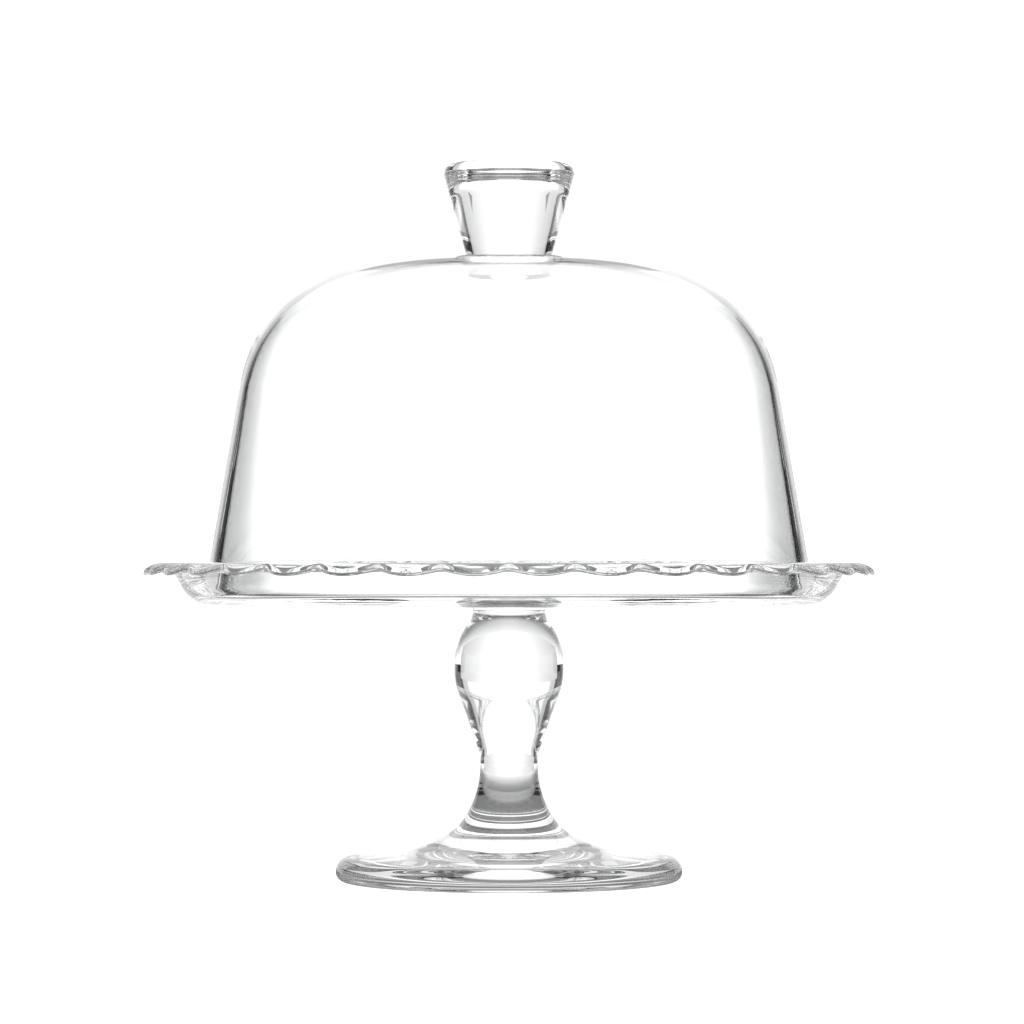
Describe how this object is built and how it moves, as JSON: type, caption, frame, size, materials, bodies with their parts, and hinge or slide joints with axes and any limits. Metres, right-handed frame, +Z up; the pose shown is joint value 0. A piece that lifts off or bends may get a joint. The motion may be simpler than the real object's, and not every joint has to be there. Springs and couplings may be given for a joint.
{
  "type": "cake stand with dome",
  "caption": "Clear glass footed cake stand: scalloped dish on a baluster stem and round foot, with a lift-off bell cover that has a tapered knob.",
  "frame": {"origin": "middle of the ring under the foot, on the table surface", "axes": "+Z up along the stand's and the cover's common axis, -Y towards the front"},
  "size_m": [0.2592, 0.2592, 0.256],
  "materials": {
    "pressed_glass": "clear thick pressed glass, fire-polished, with a faint mould ripple",
    "cover_glass": "clear smooth glass, fire-polished, with thin even walls"
  },
  "bodies": {
    "stand": {"cake_plate": "pressed_glass", "joint_wafer": "pressed_glass", "stem": "pressed_glass", "foot": "pressed_glass"},
    "dome": {"dome_shell": "cover_glass", "dome_knob": "cover_glass"}
  },
  "joints": [
    {"name": "dome_lift", "type": "slide", "parent": "stand", "child": "dome", "axis": [0, 0, 1], "range_m": [0, 0.18]}
  ]
}
